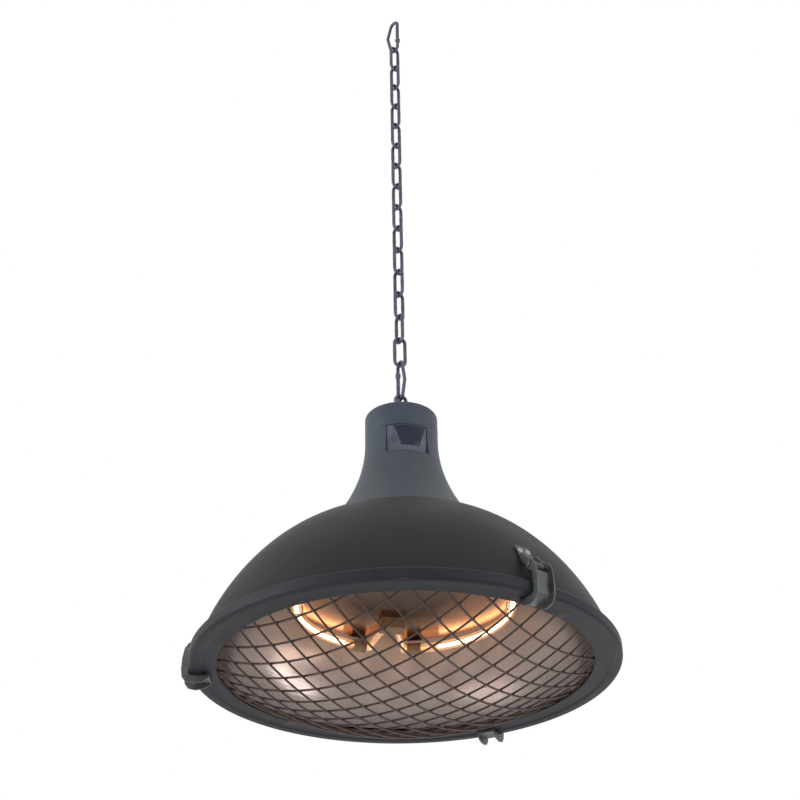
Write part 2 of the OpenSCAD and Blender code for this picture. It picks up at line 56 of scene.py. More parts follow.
# Sizes of the design in millimetres, where a node's box doesn't give them
WIRE_R = 2.0
LINK_COUNT = 15
LINK_HALF_W = 6.0
WELD_BULGE = 0.13
WELD_HALF_LENGTH = 1.5
EYE_TURN = 20.0
EYE_R = 6.0
DOME_T = 1.7
DOME_CURVE = [(210.3, 10.2), (197.4, 62.8), (138.8, 153.3), (56.4, 153.3)]
DOME_HOLE_R = 22.0
REFLECTOR_CURVE = [(198.0, 12.0), (182.0, 56.0), (140.0, 82.0), (60.0, 86.0)]
REFLECTOR_T = 1.0
REFLECTOR_LIP_R = 206.3
NECK_R = 39.7
NECK_SPREAD = 0.0035
NECK_STRAIGHT_Z = 262.0
NECK_T = 1.8
LAMP_TURN = 101.0
LAMP_Z = 70.0
LAMP_R = 110.6
TUBE_R = 5.0
TUBE_PINCH = (0.78, 0.92, 0.99)
GAP_HALF = 8.5
LEG_R = 3.7
LEG_TIP = (78.0, 5.0, 80.5)
LIT_START = 126.0
LIT_ANGLE = 305.0
LIT_TURNS = 390
TAIL_TURNS_PER_DEGREE = 1.2
MESH_TURN = 54.3
MESH_R = 1.1
MESH_PITCH = 22.75
MESH_SHIFTS = {"guard_wires_a": 1.2, "guard_wires_b": 8.0}
MESH_SPHERE_R = 371.0
MESH_EDGE = (187.0, 4.7)
MESH_END_R = 191.2
MESH_LIMIT = 181.0
CLIP_TURNS = (-55.0, 64.0, 178.0)
CLIP_PIN = (214.0, 30.0)
SPRING_R = 2.9
SPRING_HALF = 4.6
SPRING_TURNS = 7

# The stage and the camera, in metres
FLOOR_DROP = 0.9
FLOOR_HALF = 6.0
CAMERA_BACK = 1.4910
CAMERA_BELOW_RIM = 0.5966

rim_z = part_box("bezel_ring")[0].z / MM


# ---------- mesh building, in millimetres in the row frame ----------

def add_mesh(name, verts, faces, material, body, slot, replaces=(), angle=35.0):
    data = bpy.data.meshes.new(name)
    data.from_pydata([Vector(v) * MM for v in verts], [], faces)
    bm = bmesh.new()
    bm.from_mesh(data)
    bmesh.ops.remove_doubles(bm, verts=bm.verts, dist=1e-7)
    bmesh.ops.recalc_face_normals(bm, faces=bm.faces)
    bm.to_mesh(data)
    bm.free()
    data.shade_smooth()
    data.set_sharp_from_angle(angle=math.radians(angle))
    data.materials.append(material)
    piece = bpy.data.objects.new(name, data)
    scene.collection.objects.link(piece)
    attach(piece, body)
    if replaces:
        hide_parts(*replaces)
    return piece


def merge(parts):
    verts, faces = [], []
    for v, f in parts:
        base = len(verts)
        verts.extend(v)
        faces.extend([tuple(i + base for i in face) for face in f])
    return verts, faces


def lathe(profile, segments):
    """Turns a closed outline of (radius, height) points round the Z axis."""
    verts = []
    for i in range(segments):
        a = math.radians(360.0 * i / segments)
        verts.extend([(r * math.cos(a), r * math.sin(a), z) for r, z in profile])
    n = len(profile)
    faces = []
    for i in range(segments):
        here, there = i * n, ((i + 1) % segments) * n
        for k in range(n):
            m = (k + 1) % n
            faces.append((here + k, there + k, there + m, here + m))
    return verts, faces


def sweep_tube(path, radius, sides=12, closed=False):
    """Round wire along points; radius is a number or one number per point."""
    points = [Vector(p) for p in path]
    count = len(points)
    radii = [radius] * count if isinstance(radius, (int, float)) else radius
    tangents = []
    for i in range(count):
        a = points[(i - 1) % count] if closed or i > 0 else points[i]
        b = points[(i + 1) % count] if closed or i < count - 1 else points[i]
        tangents.append((b - a).normalized())
    side = tangents[0].orthogonal().normalized()
    verts = []
    for i in range(count):
        if i:
            side = tangents[i - 1].rotation_difference(tangents[i]) @ side
        side = (side - tangents[i] * side.dot(tangents[i])).normalized()
        other = tangents[i].cross(side)
        for k in range(sides):
            a = 2 * math.pi * k / sides
            verts.append(tuple(points[i] + radii[i] * (math.cos(a) * side + math.sin(a) * other)))
    faces = []
    shift = 0
    if closed:
        end = tangents[-1].rotation_difference(tangents[0]) @ side
        first = Vector(verts[0]) - points[0]
        gaps = [(math.cos(2 * math.pi * k / sides) * end
                 + math.sin(2 * math.pi * k / sides) * tangents[0].cross(end)).dot(first)
                for k in range(sides)]
        shift = gaps.index(max(gaps))
    for i in range(count if closed else count - 1):
        j = (i + 1) % count
        turn = shift if j == 0 else 0
        for k in range(sides):
            m = (k + 1) % sides
            faces.append((i * sides + (k + turn) % sides, i * sides + (m + turn) % sides,
                          j * sides + m, j * sides + k))
    if not closed:
        faces.append(tuple(range(sides)))
        faces.append(tuple(range((count - 1) * sides, count * sides)))
    return verts, faces


def ball(centre, radii, rings=7, around=12):
    """Flattened ball."""
    verts = [(centre[0], centre[1], centre[2] - radii[2])]
    for i in range(1, rings):
        t = math.pi * i / rings - math.pi / 2
        for k in range(around):
            a = 2 * math.pi * k / around
            verts.append((centre[0] + radii[0] * math.cos(t) * math.cos(a),
                          centre[1] + radii[1] * math.cos(t) * math.sin(a),
                          centre[2] + radii[2] * math.sin(t)))
    verts.append((centre[0], centre[1], centre[2] + radii[2]))
    top = len(verts) - 1
    faces = []
    for k in range(around):
        m = (k + 1) % around
        faces.append((0, 1 + m, 1 + k))
        faces.append((top, top - around + k, top - around + m))
        for i in range(rings - 2):
            a, b = 1 + i * around, 1 + (i + 1) * around
            faces.append((a + k, a + m, b + m, b + k))
    return verts, faces


def bezier(p, t):
    s = 1 - t
    w = (s ** 3, 3 * t * s * s, 3 * t * t * s, t ** 3)
    return tuple(sum(w[i] * p[i][k] for i in range(4)) for k in (0, 1))


def offset_curve(points, d):
    """Points moved square to the curve, to the left of its direction for positive d."""
    out = []
    for i, p in enumerate(points):
        a = points[max(i - 1, 0)]
        b = points[min(i + 1, len(points) - 1)]
        dx, dz = b[0] - a[0], b[1] - a[1]
        n = math.hypot(dx, dz)
        out.append((p[0] - dz / n * d, p[1] + dx / n * d))
    return out


def round_corners(points, radius, steps=5):
    """Closed outline with its corners rounded; radius may be one number per corner."""
    n = len(points)
    radii = [radius] * n if isinstance(radius, (int, float)) else radius
    out = []
    for i in range(n):
        p = Vector(points[i])
        a, b = Vector(points[i - 1]) - p, Vector(points[(i + 1) % n]) - p
        cut = min(radii[i], a.length * 0.45, b.length * 0.45)
        if cut < 1e-4:
            out.append(tuple(p))
            continue
        s, e = p + a.normalized() * cut, p + b.normalized() * cut
        for k in range(steps + 1):
            t = k / steps
            q = (1 - t) ** 2 * s + 2 * t * (1 - t) * p + t * t * e
            out.append(tuple(q))
    return out


def polar(r, a, z=0.0):
    return (r * math.cos(math.radians(a)), r * math.sin(math.radians(a)), z)


# ---------- materials ----------

def material(name, dark, light, rough=(0.4, 0.6), metallic=0.0, patch=60.0, grain=900.0,
             bump=0.12, shine=0.5, wear=None, wear_amount=0.0):
    """Two tones in soft patches that also spread the roughness, a fine grain in bump, and wear on edges."""
    m = bpy.data.materials.new(name)
    m.use_nodes = True
    tree = m.node_tree
    new, link = tree.nodes.new, tree.links.new
    shader = tree.nodes["Principled BSDF"]
    coords = new("ShaderNodeTexCoord")
    soft = new("ShaderNodeTexNoise")
    soft.inputs["Scale"].default_value = patch
    soft.inputs["Detail"].default_value = 5.0
    soft.inputs["Roughness"].default_value = 0.6
    link(coords.outputs["Object"], soft.inputs["Vector"])
    ramp = new("ShaderNodeValToRGB")
    ramp.color_ramp.elements[0].position = 0.32
    ramp.color_ramp.elements[0].color = (*dark, 1)
    ramp.color_ramp.elements[1].position = 0.68
    ramp.color_ramp.elements[1].color = (*light, 1)
    link(soft.outputs["Fac"], ramp.inputs["Fac"])
    colour = ramp.outputs["Color"]
    fine = new("ShaderNodeTexNoise")
    fine.inputs["Scale"].default_value = grain
    fine.inputs["Detail"].default_value = 2.0
    link(coords.outputs["Object"], fine.inputs["Vector"])
    if wear:
        geometry = new("ShaderNodeNewGeometry")
        edge = new("ShaderNodeMapRange")
        edge.inputs["From Min"].default_value = 0.52
        edge.inputs["From Max"].default_value = 0.62
        edge.inputs["To Max"].default_value = wear_amount
        link(geometry.outputs["Pointiness"], edge.inputs["Value"])
        mix = new("ShaderNodeMix")
        mix.data_type = "RGBA"
        mix.inputs["B"].default_value = (*wear, 1)
        link(edge.outputs["Result"], mix.inputs["Factor"])
        link(colour, mix.inputs["A"])
        colour = mix.outputs["Result"]
    link(colour, shader.inputs["Base Color"])
    spread = new("ShaderNodeMapRange")
    spread.inputs["From Min"].default_value = 0.3
    spread.inputs["From Max"].default_value = 0.7
    spread.inputs["To Min"].default_value = rough[0]
    spread.inputs["To Max"].default_value = rough[1]
    link(soft.outputs["Fac"], spread.inputs["Value"])
    link(spread.outputs["Result"], shader.inputs["Roughness"])
    shader.inputs["Metallic"].default_value = metallic
    shader.inputs["Specular IOR Level"].default_value = shine
    if bump:
        raise_it = new("ShaderNodeBump")
        raise_it.inputs["Strength"].default_value = bump
        raise_it.inputs["Distance"].default_value = 0.0003
        link(fine.outputs["Fac"], raise_it.inputs["Height"])
        link(raise_it.outputs["Normal"], shader.inputs["Normal"])
    return m


def reflector_material():
    """Spun bright aluminium; its colour, by distance from the axis, holds painted shade at the centre and a
    painted warm glow of the lamp in a ring round it.
    """
    m = bpy.data.materials.new("spun_mirror")
    m.use_nodes = True
    tree = m.node_tree
    new, link = tree.nodes.new, tree.links.new
    shader = tree.nodes["Principled BSDF"]
    coords = new("ShaderNodeTexCoord")
    flat = new("ShaderNodeVectorMath")
    flat.operation = "MULTIPLY"
    flat.inputs[1].default_value = (1, 1, 0)
    link(coords.outputs["Object"], flat.inputs[0])
    away = new("ShaderNodeVectorMath")
    away.operation = "LENGTH"
    link(flat.outputs["Vector"], away.inputs[0])
    share = new("ShaderNodeMath")
    share.operation = "DIVIDE"
    share.inputs[1].default_value = 0.205
    link(away.outputs["Value"], share.inputs[0])
    cloud = new("ShaderNodeTexNoise")
    cloud.inputs["Scale"].default_value = 14.0
    cloud.inputs["Detail"].default_value = 4.0
    link(coords.outputs["Object"], cloud.inputs["Vector"])
    drift = new("ShaderNodeMath")
    drift.operation = "MULTIPLY_ADD"
    drift.inputs[1].default_value = 0.10
    drift.inputs[2].default_value = -0.05
    link(cloud.outputs["Fac"], drift.inputs[0])
    total = new("ShaderNodeMath")
    total.operation = "ADD"
    link(share.outputs["Value"], total.inputs[0])
    link(drift.outputs["Value"], total.inputs[1])
    ramp = new("ShaderNodeValToRGB")
    # colour by distance from the axis: painted shade at the centre, a painted orange glow of the lamp in
    # the ring at the lamp's radius, greyer towards the lip
    glow_and_shade_stops = [
        (0.00, (0.13, 0.088, 0.070)), (0.22, (0.19, 0.120, 0.09)), (0.42, (0.38, 0.215, 0.135)),
        (0.60, (0.43, 0.265, 0.185)), (0.80, (0.36, 0.27, 0.235)), (1.00, (0.33, 0.29, 0.285)),
    ]
    for position, colour in glow_and_shade_stops[1:-1]:
        ramp.color_ramp.elements.new(position)
    for element, (position, colour) in zip(ramp.color_ramp.elements, glow_and_shade_stops):
        element.position = position
        element.color = (*colour, 1)
    link(total.outputs["Value"], ramp.inputs["Fac"])
    link(ramp.outputs["Color"], shader.inputs["Base Color"])
    shader.inputs["Metallic"].default_value = 1.0
    haze = new("ShaderNodeMapRange")
    haze.inputs["To Min"].default_value = 0.16
    haze.inputs["To Max"].default_value = 0.30
    link(cloud.outputs["Fac"], haze.inputs["Value"])
    link(haze.outputs["Result"], shader.inputs["Roughness"])
    groove = new("ShaderNodeMath")
    groove.operation = "MULTIPLY"
    groove.inputs[1].default_value = 2600.0
    link(away.outputs["Value"], groove.inputs[0])
    wave = new("ShaderNodeMath")
    wave.operation = "SINE"
    link(groove.outputs["Value"], wave.inputs[0])
    raise_it = new("ShaderNodeBump")
    raise_it.inputs["Strength"].default_value = 0.05
    raise_it.inputs["Distance"].default_value = 0.0002
    link(wave.outputs["Value"], raise_it.inputs["Height"])
    link(raise_it.outputs["Normal"], shader.inputs["Normal"])
    return m


def quartz_material():
    """Clear tube: mostly see-through, with a bright rim that glows a little."""
    m = bpy.data.materials.new("quartz")
    m.use_nodes = True
    tree = m.node_tree
    tree.nodes.clear()
    new, link = tree.nodes.new, tree.links.new
    out = new("ShaderNodeOutputMaterial")
    clear = new("ShaderNodeBsdfTransparent")
    clear.inputs["Color"].default_value = (1.0, 0.95, 0.88, 1)
    gloss = new("ShaderNodeBsdfGlossy")
    gloss.inputs["Roughness"].default_value = 0.05
    coords = new("ShaderNodeTexCoord")
    smoke = new("ShaderNodeTexNoise")
    smoke.inputs["Scale"].default_value = 160.0
    link(coords.outputs["Object"], smoke.inputs["Vector"])
    tint = new("ShaderNodeValToRGB")
    tint.color_ramp.elements[0].color = (0.80, 0.76, 0.70, 1)
    tint.color_ramp.elements[1].color = (1.0, 0.97, 0.92, 1)
    link(smoke.outputs["Fac"], tint.inputs["Fac"])
    link(tint.outputs["Color"], gloss.inputs["Color"])
    facing = new("ShaderNodeLayerWeight")
    facing.inputs["Blend"].default_value = 0.35
    mix = new("ShaderNodeMixShader")
    link(facing.outputs["Facing"], mix.inputs["Fac"])
    link(clear.outputs["BSDF"], mix.inputs[1])
    link(gloss.outputs["BSDF"], mix.inputs[2])
    heat = new("ShaderNodeEmission")
    heat.inputs["Color"].default_value = (1.0, 0.42, 0.14, 1)
    heat.inputs["Strength"].default_value = 0.20
    both = new("ShaderNodeAddShader")
    link(mix.outputs["Shader"], both.inputs[0])
    link(heat.outputs["Emission"], both.inputs[1])
    link(both.outputs["Shader"], out.inputs["Surface"])
    return m


def glow_material(name, inner, outer, strength):
    """Incandescent coil whose brightness drifts a little along its length."""
    m = bpy.data.materials.new(name)
    m.use_nodes = True
    tree = m.node_tree
    tree.nodes.clear()
    new, link = tree.nodes.new, tree.links.new
    out = new("ShaderNodeOutputMaterial")
    light = new("ShaderNodeEmission")
    coords = new("ShaderNodeTexCoord")
    drift = new("ShaderNodeTexNoise")
    drift.inputs["Scale"].default_value = 45.0
    link(coords.outputs["Object"], drift.inputs["Vector"])
    ramp = new("ShaderNodeValToRGB")
    ramp.color_ramp.elements[0].position = 0.3
    ramp.color_ramp.elements[0].color = (*outer, 1)
    ramp.color_ramp.elements[1].position = 0.7
    ramp.color_ramp.elements[1].color = (*inner, 1)
    link(drift.outputs["Fac"], ramp.inputs["Fac"])
    link(ramp.outputs["Color"], light.inputs["Color"])
    light.inputs["Strength"].default_value = strength
    link(light.outputs["Emission"], out.inputs["Surface"])
    return m


M = {
    "hook_zinc": material("hook_zinc", (0.050, 0.056, 0.078), (0.10, 0.11, 0.15), (0.30, 0.48), 0.7,
                          patch=140.0, shine=0.4, wear=(0.24, 0.26, 0.31), wear_amount=0.35),
    "bright_steel": material("bright_steel", (0.22, 0.23, 0.25), (0.38, 0.39, 0.41), (0.28, 0.45), 1.0,
                             patch=90.0),
    "neck_paint": material("neck_paint", (0.035, 0.041, 0.052), (0.047, 0.054, 0.066), (0.46, 0.60),
                           patch=26.0, grain=1500.0, bump=0.22, shine=0.28, wear=(0.10, 0.11, 0.12),
                           wear_amount=0.25),
    "shade_paint": material("shade_paint", (0.009, 0.0088, 0.0105), (0.016, 0.0155, 0.017), (0.46, 0.62),
                            patch=12.0, grain=1500.0, bump=0.25, shine=0.18, wear=(0.05, 0.05, 0.05),
                            wear_amount=0.3),
    "bezel_paint": material("bezel_paint", (0.008, 0.0088, 0.0120), (0.014, 0.0152, 0.021), (0.44, 0.60),
                            patch=18.0, grain=1500.0, bump=0.22, shine=0.22, wear=(0.06, 0.063, 0.073),
                            wear_amount=0.35),
    "window_smoke": material("window_smoke", (0.006, 0.010, 0.022), (0.012, 0.018, 0.036), (0.14, 0.22),
                             patch=40.0, bump=0.0, shine=0.25),
    "board_green": material("board_green", (0.010, 0.09, 0.03), (0.02, 0.15, 0.06), (0.35, 0.5)),
    "nylon_black": material("nylon_black", (0.012, 0.012, 0.013), (0.022, 0.022, 0.024), (0.42, 0.55)),
    "mirror_aluminium": material("mirror_aluminium", (0.62, 0.62, 0.64), (0.78, 0.78, 0.80), (0.2, 0.34),
                                 1.0, patch=30.0),
    "ceramic": material("ceramic", (0.20, 0.165, 0.13), (0.32, 0.27, 0.22), (0.5, 0.7), patch=80.0),
    "lead_sleeve": material("lead_sleeve", (0.48, 0.42, 0.34), (0.66, 0.60, 0.50), (0.7, 0.9), grain=1800.0,
                            bump=0.5),
    "gasket_black": material("gasket_black", (0.010, 0.010, 0.010), (0.020, 0.020, 0.020), (0.6, 0.8)),
    "guard_brown": material("guard_brown", (0.022, 0.013, 0.012), (0.050, 0.030, 0.026), (0.40, 0.62), 0.3,
                            patch=70.0, wear=(0.09, 0.05, 0.04), wear_amount=0.4),
    "clip_zinc": material("clip_zinc", (0.050, 0.056, 0.055), (0.092, 0.10, 0.096), (0.36, 0.55), 0.5,
                          patch=110.0, shine=0.35, wear=(0.22, 0.24, 0.23), wear_amount=0.45),
    "scorched_ceramic": material("scorched_ceramic", (0.11, 0.060, 0.030), (0.24, 0.14, 0.075), (0.5, 0.7),
                                 patch=80.0),
    "cap_paint": material("cap_paint", (0.030, 0.040, 0.058), (0.042, 0.053, 0.073), (0.42, 0.56),
                          patch=26.0, grain=1500.0, bump=0.22, shine=0.28, wear=(0.10, 0.11, 0.13),
                          wear_amount=0.25),
    "frame_grey": material("frame_grey", (0.034, 0.040, 0.060), (0.070, 0.076, 0.110), (0.22, 0.34),
                           patch=55.0, bump=0.0, shine=0.5),
    "quartz": quartz_material(),
    "warm_coil": glow_material("warm_coil", (1.0, 0.60, 0.28), (0.95, 0.42, 0.15), 1.5),
    "glowing_coil": glow_material("glowing_coil", (1.0, 0.70, 0.46), (1.0, 0.60, 0.36), 9.0),
}
M["reflector"] = reflector_material()

slots = {s["node"]: s["material_slot"] for s in record["subparts"]}
look = {node: M[slot] for node, slot in slots.items()}
for node in ("neck_cap", "control_band"):
    look[node] = M["cap_paint"]
look["window_frame"] = M["frame_grey"]
look["clip_pins"] = M["clip_zinc"]
for node in ("lamp_end_sleeves", "lamp_holder"):
    look[node] = M["scorched_ceramic"]
body_of = {n: b for b, members in record["behaviour"]["bodies"].items() for n in members}


# ---------- CAD nodes with softened edges ----------

def refine(node, width=0.35, segments=2):
    """The node's own shape with its sharp edges broken; stands for the CAD node."""
    source = nodes[node].data
    bm = bmesh.new()
    bm.from_mesh(source)
    bmesh.ops.remove_doubles(bm, verts=bm.verts, dist=2e-6)
    bmesh.ops.dissolve_limit(bm, angle_limit=math.radians(0.8), verts=bm.verts, edges=bm.edges)
    edges = [e for e in bm.edges if e.is_manifold and e.calc_face_angle(0.0) > math.radians(32)]
    bmesh.ops.bevel(bm, geom=edges, offset=width * MM, offset_type="OFFSET", segments=segments,
                    profile=0.7, affect="EDGES", clamp_overlap=True)
    bmesh.ops.recalc_face_normals(bm, faces=bm.faces)
    data = bpy.data.meshes.new(node + "_shape")
    bm.to_mesh(data)
    bm.free()
    data.shade_smooth()
    data.set_sharp_from_angle(angle=math.radians(40))
    data.materials.append(look[node])
    piece = bpy.data.objects.new(node + "_shape", data)
    scene.collection.objects.link(piece)
    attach(piece, body_of[node])
    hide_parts(node)
    return piece


for node, o in nodes.items():
    o.data.materials.clear()
    o.data.materials.append(look[node])

for node in ("top_carabiner_gate", "bottom_carabiner_gate"):
    refine(node, 0.25)
for node in ("neck_cap", "control_band", "window_frame", "window_lens"):
    refine(node, 0.3)
for node in ("gland_body", "gland_nut", "lamp_holder", "clip_pins", "eye_nut"):
    refine(node, 0.4)
for node in ("clip_lever_1", "clip_lever_2", "clip_lever_3", "clip_brackets"):
    refine(node, 0.35, 3)


# ---------- chain ----------

def link_path(top_z, bottom_z, half_w, turn, steps=20):
    """Centreline of one link with its weld at the middle of one side."""
    a = math.radians(turn)
    across = Vector((math.cos(a), math.sin(a), 0))
    upper, lower = top_z - half_w, bottom_z + half_w
    flat = [(half_w * math.cos(t), upper + half_w * math.sin(t))
            for t in (math.pi * i / steps for i in range(steps + 1))]
    flat += [(-half_w, upper + (lower - upper) * i / 8) for i in range(1, 8)]
    flat += [(half_w * math.cos(t), lower + half_w * math.sin(t))
             for t in (math.pi + math.pi * i / steps for i in range(steps + 1))]
    flat += [(half_w, lower + (upper - lower) * i / 16) for i in range(1, 16)]
    weld_z = (upper + lower) / 2
    points, radii = [], []
    for u, z in flat:
        points.append(across * u + Vector((0, 0, z)))
        near = math.exp(-((z - weld_z) / WELD_HALF_LENGTH) ** 2) if u > half_w * 0.99 else 0.0
        radii.append(WIRE_R * (1 + WELD_BULGE * near) * (1 + rng.uniform(-0.006, 0.006)))
    return points, radii


def axis_turn(joint):
    x, y, _ = joint["axis"]
    return math.degrees(math.atan2(y, x))


for k in range(1, LINK_COUNT + 1):
    node = f"chain_link_{k:02d}"
    low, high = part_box(node)
    below = joints["bottom_hook_swing"] if k == LINK_COUNT else joints[f"link_{k + 1:02d}_swing"]
    turn = axis_turn(below)
    points, radii = link_path(high.z / MM - WIRE_R, low.z / MM + WIRE_R, LINK_HALF_W, turn)
    add_mesh(f"link_{k:02d}_wire", *sweep_tube(points, radii, 16, closed=True), M["hook_zinc"],
             body_of[node], "hook_zinc", [node])


# ---------- eye bolt ----------

low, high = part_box("eye_bolt")
eye_axis = math.radians(EYE_TURN)
eye_c = high.z / MM - WIRE_R - EYE_R
eye_ring = [(EYE_R * math.cos(t) * math.cos(eye_axis), EYE_R * math.cos(t) * math.sin(eye_axis),
             eye_c + EYE_R * math.sin(t)) for t in (2 * math.pi * i / 48 for i in range(48))]
eye_foot = low.z / MM
cap_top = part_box("neck_cap")[1].z / MM
eye_stem = [
    (0, eye_foot), (3.4, eye_foot), (3.9, eye_foot + 0.6), (3.9, cap_top + 1.8), (8.4, cap_top + 1.8),
    (9.0, cap_top + 2.4), (9.0, cap_top + 4.1), (8.2, cap_top + 4.7), (4.4, cap_top + 4.9),
    (3.5, cap_top + 6.2), (3.2, cap_top + 9), (3.0, eye_c - 6.5), (0, eye_c - 5.5),
]
add_mesh("eye_bolt_forged", *merge([sweep_tube(eye_ring, WIRE_R, 16, closed=True), lathe(eye_stem, 48)]),
         M["hook_zinc"], "heater", "bright_steel", ["eye_bolt"])


# ---------- shade ----------

def with_rim(points):
    return [(r, z + rim_z) for r, z in points]


dome_out = [bezier(DOME_CURVE, i / 60) for i in range(61)]
dome_in = offset_curve(dome_out, DOME_T)
dome_edge_r = DOME_CURVE[0][0]
dome_top = DOME_CURVE[-1][1]
bead = [(dome_edge_r - DOME_T, 6.0), (209.2, 5.45), (210.0, 5.5), (210.45, 6.2)]
dome_profile = bead + dome_out + [(DOME_HOLE_R, dome_top), (DOME_HOLE_R, dome_top - DOME_T)] + dome_in[::-1]
add_mesh("dome_spun", *lathe(with_rim(dome_profile), 320), M["shade_paint"], "heater", "shade_paint",
         ["dome_shell"])

bezel_top = (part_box("bezel_ring")[1].z / MM) - rim_z
bezel_outline = [
    (189.0, 1.6), (203.4, 1.6), (206.6, 0.0), (214.6, 0.0), (217.0, 2.4), (217.0, bezel_top - 1.8),
    (215.4, bezel_top), (212.4, bezel_top), (212.4, bezel_top - 1.0), (213.6, bezel_top - 2.4),
    (213.6, 3.2), (189.0, 3.2),
]
bezel_round = round_corners(bezel_outline, [0.5, 1.2, 1.4, 1.6, 1.6, 1.4, 0.8, 0.4, 0.4, 0.6, 0.3, 0.5], 5)
add_mesh("bezel_rolled", *lathe(with_rim(bezel_round), 320), M["bezel_paint"], "heater", "bezel_paint",
         ["bezel_ring"])


def neck_r(z):
    return NECK_R + NECK_SPREAD * max(NECK_STRAIGHT_Z - z, 0.0) ** 2


neck_low, neck_high = (v.z / MM - rim_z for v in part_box("flared_neck"))
neck_out = [(neck_r(z), z) for z in (neck_low + (neck_high - neck_low) * i / 40 for i in range(41))]
neck_in = [(r - NECK_T, z) for r, z in neck_out]
neck_profile = neck_out + neck_in[::-1]
add_mesh("neck_spun", *lathe(with_rim(neck_profile), 192), M["neck_paint"], "heater", "neck_paint",
         ["flared_neck"])

reflector_curve = [bezier(REFLECTOR_CURVE, i / 60) for i in range(61)]
reflector_back = offset_curve(reflector_curve, -REFLECTOR_T)
bowl_z = REFLECTOR_CURVE[0][1]
bowl_top = REFLECTOR_CURVE[-1][1]
lip = [(REFLECTOR_LIP_R, bowl_z), (REFLECTOR_LIP_R, bowl_z - REFLECTOR_T)]
reflector_profile = (
    [(0.01, bowl_top + REFLECTOR_T)] + reflector_back[::-1] + lip + reflector_curve + [(0.01, bowl_top)]
)
add_mesh("reflector_spun", *lathe(with_rim(reflector_profile), 320), M["reflector"], "heater",
         "mirror_aluminium", ["reflector"], angle=60)


# ---------- guard ----------

def guard_point(shift, along, layer):
    """Point on a guard wire, in a frame turned so that the wires run along X."""
    centre_z = MESH_EDGE[1] + math.sqrt(MESH_SPHERE_R ** 2 - MESH_EDGE[0] ** 2)
    r = MESH_SPHERE_R + layer
    return (along, shift, centre_z - math.sqrt(max(r * r - shift * shift - along * along, 0.0)))


def turned(p, a):
    c, s = math.cos(math.radians(a)), math.sin(math.radians(a))
    return (p[0] * c - p[1] * s, p[0] * s + p[1] * c, p[2] + rim_z)


FAMILIES = {
    "guard_wires_a": (MESH_TURN + 180.0, MESH_R - 0.05),
    "guard_wires_b": (MESH_TURN - 90.0, 0.05 - MESH_R),
}
wire_offsets = {}
for node, (turn, layer) in FAMILIES.items():
    shift = MESH_SHIFTS[node]
    first = math.ceil((-MESH_LIMIT - shift) / MESH_PITCH)
    last = math.floor((MESH_LIMIT - shift) / MESH_PITCH)
    offsets = [shift + i * MESH_PITCH for i in range(first, last + 1)]
    wire_offsets[node] = offsets
    parts = []
    for off in offsets:
        reach = math.sqrt(MESH_END_R ** 2 - off * off)
        phase, sway = rng.uniform(0, 6.28), rng.uniform(0.05, 0.16)
        path = []
        for i in range(61):
            t = -1 + i / 30
            wobble = sway * math.sin(phase + 5 * t) * (1 - t * t)
            path.append(turned(guard_point(off + wobble, reach * t, layer), turn))
        parts.append(sweep_tube(path, MESH_R, 10))
    add_mesh(node + "_drawn", *merge(parts), M["guard_brown"], "heater", "guard_brown", [node])

hoop_low, hoop_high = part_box("guard_hoop")
hoop_wire = (hoop_high.z - hoop_low.z) / MM / 2
hoop_r = hoop_high.x / MM - hoop_wire
hoop_z = (hoop_low.z + hoop_high.z) / 2 / MM
hoop_path = [polar(hoop_r, 360 * i / 240, hoop_z) for i in range(240)]
add_mesh("guard_hoop_drawn", *sweep_tube(hoop_path, hoop_wire, 14, closed=True), M["guard_brown"], "heater",
         "guard_brown", ["guard_hoop"])

welds = []
ta, tb = (math.radians(FAMILIES[n][0]) for n in ("guard_wires_a", "guard_wires_b"))
for oa in wire_offsets["guard_wires_a"]:
    for ob in wire_offsets["guard_wires_b"]:
        na = Vector((-math.sin(ta), math.cos(ta)))
        nb = Vector((-math.sin(tb), math.cos(tb)))
        p = na * oa + nb * ob
        if p.length < MESH_EDGE[0]:
            z = guard_point(0.0, p.length, 0.0)[2] + rim_z
            size = rng.uniform(1.25, 1.55)
            welds.append(ball((p.x, p.y, z), (size, size, 0.75), 5, 8))
add_mesh("guard_welds", *merge(welds), M["guard_brown"], "heater", "guard_brown")


# ---------- lamp ----------

lamp_z = LAMP_Z + rim_z


def ring_arc(radius, start, sweep, steps, z=lamp_z):
    return [polar(radius, start + sweep * i / steps, z) for i in range(steps + 1)]


full = 360 - 2 * GAP_HALF
tube_path = ring_arc(LAMP_R, LAMP_TURN + GAP_HALF, full, 220)
last_step = len(tube_path) - 1
from_end = [min(i, last_step - i) for i in range(last_step + 1)]
tube_radii = [TUBE_R * (TUBE_PINCH[i] if i < len(TUBE_PINCH) else 1.0) for i in from_end]
leg_parts = []
for s in (-1, 1):
    base = polar(LAMP_R, LAMP_TURN + s * (GAP_HALF + 1.2), lamp_z)
    c, sn = math.cos(math.radians(LAMP_TURN)), math.sin(math.radians(LAMP_TURN))
    tip = (LEG_TIP[0] * c - s * LEG_TIP[1] * sn, LEG_TIP[0] * sn + s * LEG_TIP[1] * c,
           LEG_TIP[2] + rim_z)
    bow = [tuple(base[k] * (1 - t) + tip[k] * t + (1.2 * math.sin(math.pi * t) if k == 2 else 0)
                 for k in range(3)) for t in (i / 14 for i in range(15))]
    leg_parts.append(sweep_tube(bow, LEG_R, 18))
add_mesh("lamp_tube_drawn", *merge([sweep_tube(tube_path, tube_radii, 20)] + leg_parts), M["quartz"],
         "heater", "quartz", ["lamp_tube"])


def coil_path(start, sweep, turns, coil_r, steps=8):
    """Helix of radius coil_r wound along an arc of the lamp's ring."""
    path = []
    for i in range(turns * steps + 1):
        a = math.radians(start + sweep * i / (turns * steps))
        b = 2 * math.pi * i / steps
        r = LAMP_R + coil_r * math.cos(b)
        path.append((r * math.cos(a), r * math.sin(a), lamp_z + coil_r * math.sin(b)))
    return path


